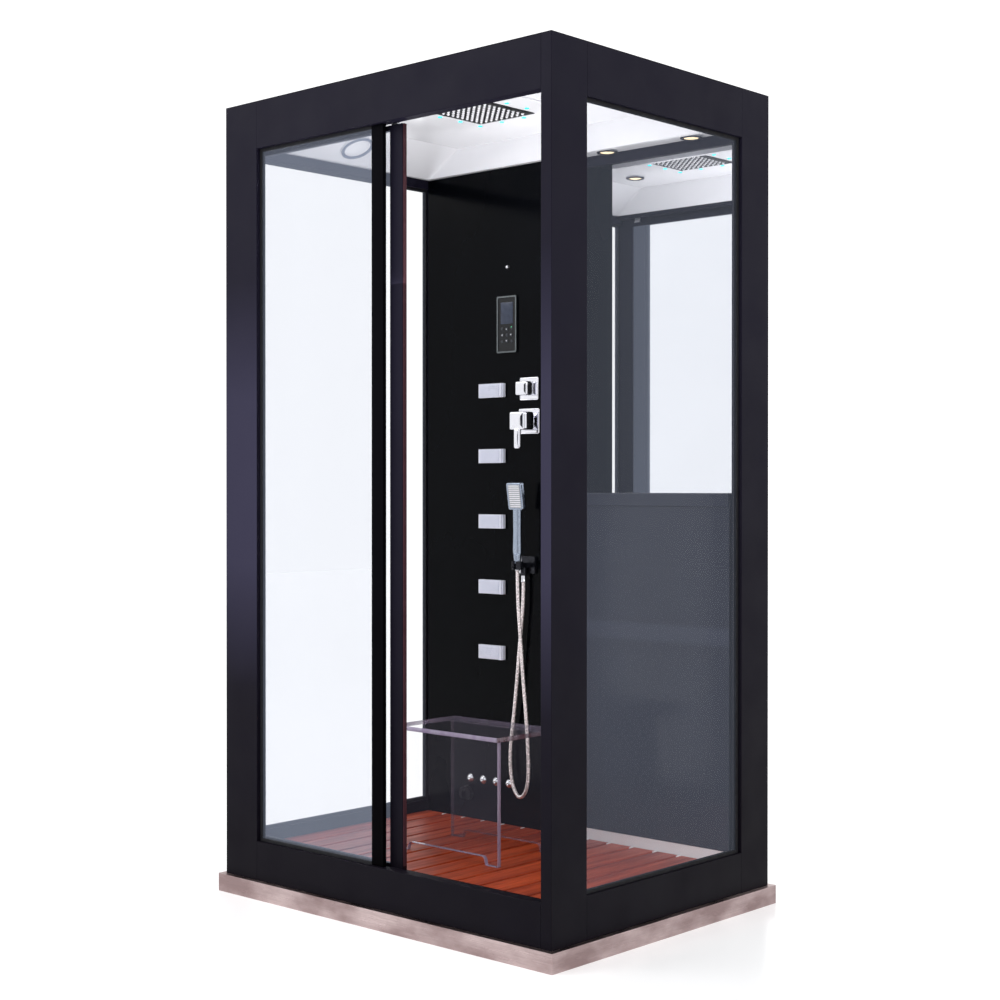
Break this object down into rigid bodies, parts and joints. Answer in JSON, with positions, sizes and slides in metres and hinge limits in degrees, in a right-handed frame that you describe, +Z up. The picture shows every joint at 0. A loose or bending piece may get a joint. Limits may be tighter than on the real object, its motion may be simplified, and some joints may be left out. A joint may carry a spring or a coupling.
{
  "type": "steam shower cabin",
  "caption": "Closed rectangular steam shower cabin with a sliding glass door, dark frame, back column with jets, niche mirror, rain ceiling and a clear stool.",
  "frame": {"origin": "middle of the plinth's footprint, at floor level", "axes": "+Z up; the open front looks along -Y; +X to the right seen from the front"},
  "size_m": [1.2, 0.928, 2.15],
  "materials": {
    "frame_paint": "satin powder coat, very dark navy",
    "plinth_steel": "brushed stainless steel",
    "zinc": "zinc-plated steel",
    "chrome": "polished chrome",
    "glass": "clear tempered glass",
    "seal": "matte black seal",
    "tray": "white acrylic",
    "deck": "oiled reddish hardwood",
    "clips": "white moulded plastic",
    "column": "glossy near-black panel",
    "lower_panel": "glossy dark grey panel",
    "mirror": "silvered glass",
    "cover": "satin dark grey sheet",
    "roof": "white moulded acrylic",
    "spray_plate": "black with white nozzles",
    "led": "cyan light caps",
    "panel": "black glass-like face",
    "key": "grey keys",
    "brass": "raw brass",
    "steel_case": "light grey case",
    "waste": "grey moulded plastic",
    "acrylic": "clear acrylic",
    "hose": "metal shower hose",
    "nylon": "nylon roller"
  },
  "bodies": {
    "cabin": {"plinth_skirt": "plinth_steel", "levelling_feet": "zinc", "base_tray": "tray", "waste_trap": "waste", "deck_slats": "deck", "deck_bearers": "clips", "post_front_left": "frame_paint", "post_front_right": "frame_paint", "post_back_left": "frame_paint", "post_back_right": "frame_paint", "beam_top_front": "frame_paint", "beam_top_right": "frame_paint", "beam_top_left": "frame_paint", "sill_front": "frame_paint", "sill_right": "frame_paint", "sill_left": "frame_paint", "rear_frame": "frame_paint", "rear_cover": "cover", "roof_cover": "cover", "left_glass": "glass", "right_glass": "glass", "fixed_glass": "glass", "fixed_stile": "frame_paint", "glazing_seals": "seal", "door_track_top": "frame_paint", "door_track_bottom": "frame_paint", "back_column": "column", "lower_panel": "lower_panel", "ledge_shelf": "lower_panel", "mirror": "mirror", "roof_pan": "roof", "rain_panel": "roof", "rain_leds": "led", "rain_plate": "spray_plate", "downlights": "chrome", "speaker": "roof", "body_jets": "chrome", "control_panel": "panel", "diverter_plate": "chrome", "mixer_plate": "chrome", "shower_bracket": "chrome", "shower_hose": "hose", "floor_jets": "chrome", "steam_outlet": "panel", "steam_generator": "steel_case", "water_inlets": "brass"},
    "door": {"door_frame": "frame_paint", "door_glass": "glass", "door_hangers": "chrome"},
    "roller_left": {"roller_left": "nylon"},
    "roller_right": {"roller_right": "nylon"},
    "diverter": {"diverter_knob": "chrome"},
    "mixer_hub": {"mixer_hub": "chrome"},
    "mixer_handle": {"mixer_handle": "chrome"},
    "handset": {"handset": "chrome"},
    "stool": {"stool": "acrylic"},
    "key_up": {"key_up": "key"},
    "key_down": {"key_down": "key"},
    "key_left": {"key_left": "key"},
    "key_right": {"key_right": "key"}
  },
  "joints": [
    {"name": "door_slide", "type": "slide", "parent": "cabin", "child": "door", "axis": [1, 0, 0], "range_m": [0, 0.483]},
    {"name": "roller_left_spin", "type": "hinge", "parent": "door", "child": "roller_left", "pos_m": [-0.475, -0.3955, 2.0483], "axis": [0, 1, 0], "continuous": true},
    {"name": "roller_right_spin", "type": "hinge", "parent": "door", "child": "roller_right", "pos_m": [0.037, -0.3955, 2.0483], "axis": [0, 1, 0], "continuous": true},
    {"name": "diverter_turn", "type": "hinge", "parent": "cabin", "child": "diverter", "pos_m": [-0.136, 0.2835, 1.395], "axis": [0, 1, 0], "range_deg": [-90, 90]},
    {"name": "mixer_turn", "type": "hinge", "parent": "cabin", "child": "mixer_hub", "pos_m": [-0.136, 0.295, 1.301], "axis": [0, 1, 0], "range_deg": [-50, 50]},
    {"name": "mixer_lift", "type": "hinge", "parent": "mixer_hub", "child": "mixer_handle", "pos_m": [-0.136, 0.291, 1.301], "axis": [-1, 0, 0], "range_deg": [0, 18]},
    {"name": "handset_lift", "type": "slide", "parent": "cabin", "child": "handset", "axis": [0, 0, 1], "range_m": [0, 0.08]},
    {"name": "stool_lift", "type": "slide", "parent": "cabin", "child": "stool", "axis": [0, 0, 1], "range_m": [0, 0.3]},
    {"name": "key_up_press", "type": "slide", "parent": "cabin", "child": "key_up", "axis": [0, 1, 0], "range_m": [0, 0.0008], "stiffness_N_per_m": 600, "springref_m": -0.0004},
    {"name": "key_down_press", "type": "slide", "parent": "cabin", "child": "key_down", "axis": [0, 1, 0], "range_m": [0, 0.0008], "stiffness_N_per_m": 600, "springref_m": -0.0004},
    {"name": "key_left_press", "type": "slide", "parent": "cabin", "child": "key_left", "axis": [0, 1, 0], "range_m": [0, 0.0008], "stiffness_N_per_m": 600, "springref_m": -0.0004},
    {"name": "key_right_press", "type": "slide", "parent": "cabin", "child": "key_right", "axis": [0, 1, 0], "range_m": [0, 0.0008], "stiffness_N_per_m": 600, "springref_m": -0.0004}
  ],
  "couplings": [
    {"joint": "roller_left_spin", "follows": "door_slide", "rad_per_m": 105.26},
    {"joint": "roller_right_spin", "follows": "door_slide", "rad_per_m": 105.26}
  ]
}
